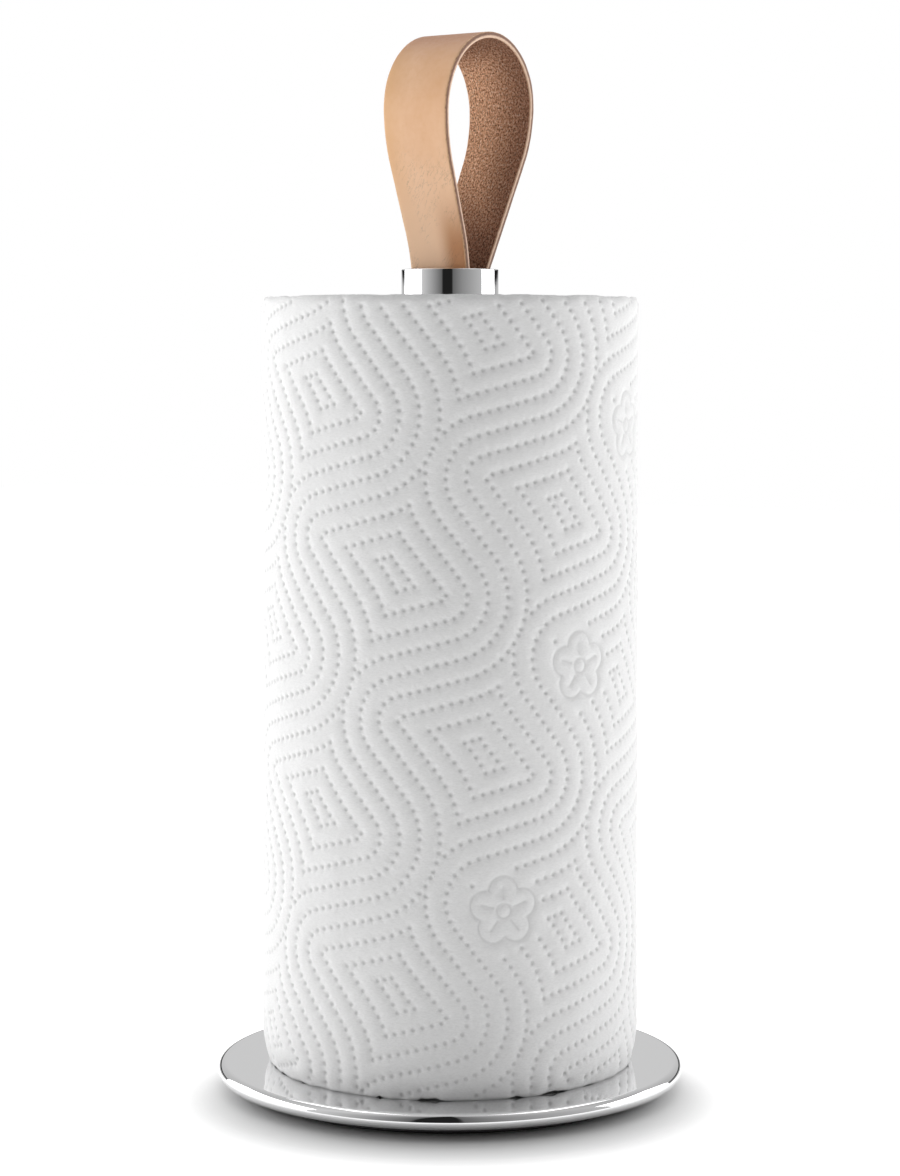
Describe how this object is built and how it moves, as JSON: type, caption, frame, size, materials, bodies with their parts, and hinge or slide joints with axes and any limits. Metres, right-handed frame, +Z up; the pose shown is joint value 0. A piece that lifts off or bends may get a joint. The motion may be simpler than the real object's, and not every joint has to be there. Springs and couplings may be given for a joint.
{
  "type": "paper towel holder",
  "caption": "Upright countertop holder with a round weighted base, a steel column, a leather loop handle on top and a full embossed paper roll.",
  "frame": {"origin": "centre of the resting face under the foot ring", "axes": "+Z up along the column, X across the leather loop's opening direction (the loop lies in the XZ plane and its taller bulge points to +X), Y along the leather's width"},
  "size_m": [0.147, 0.147, 0.3318],
  "materials": {
    "polished_steel": "mirror polished stainless steel",
    "ballast_iron": "as cast, turned faces",
    "plain_steel": "machined, zinc plated",
    "black_plastic": "fine moulded texture",
    "foot_rubber": "matte",
    "tan_leather": "vegetable tanned, smooth outside, rough inside, burnished edges",
    "core_cardboard": "spiral wound grey-brown board",
    "wound_paper": "soft two-ply paper wound in a spiral, mostly air, with an embossed dotted pattern",
    "white_paper": "soft two-ply paper with an embossed dotted pattern"
  },
  "bodies": {
    "holder": {"base_shell": "polished_steel", "ballast_disc": "ballast_iron", "base_cover": "black_plastic", "cover_screws": "plain_steel", "foot_ring": "foot_rubber", "centre_bolt": "plain_steel", "bolt_washer": "plain_steel", "locating_pin": "plain_steel", "tube_plug": "plain_steel", "column_tube": "polished_steel", "strap_collar": "polished_steel", "clamp_block": "plain_steel", "clamp_jaw_left": "plain_steel", "clamp_jaw_right": "plain_steel", "clamp_screws": "plain_steel", "retaining_pin": "plain_steel"},
    "strap": {"strap": "tan_leather"},
    "core": {"roll_core": "core_cardboard"},
    "roll": {"paper_roll": "wound_paper", "end_sheet": "white_paper"}
  },
  "joints": [
    {"name": "roll_lift", "type": "slide", "parent": "holder", "child": "core", "axis": [0, 0, 1], "range_m": [0, 0.34], "deforming": ["strap"]},
    {"name": "roll_spin", "type": "hinge", "parent": "core", "child": "roll", "pos_m": [0, 0, 0.128], "axis": [0, 0, 1], "continuous": true},
    {"name": "strap_flex", "type": "hinge", "parent": "holder", "child": "strap", "pos_m": [0, 0, 0.2574], "axis": [0, 1, 0], "range_deg": [-25, 20], "stiffness_Nm_per_rad": 0.15, "deforming": ["strap"]}
  ]
}
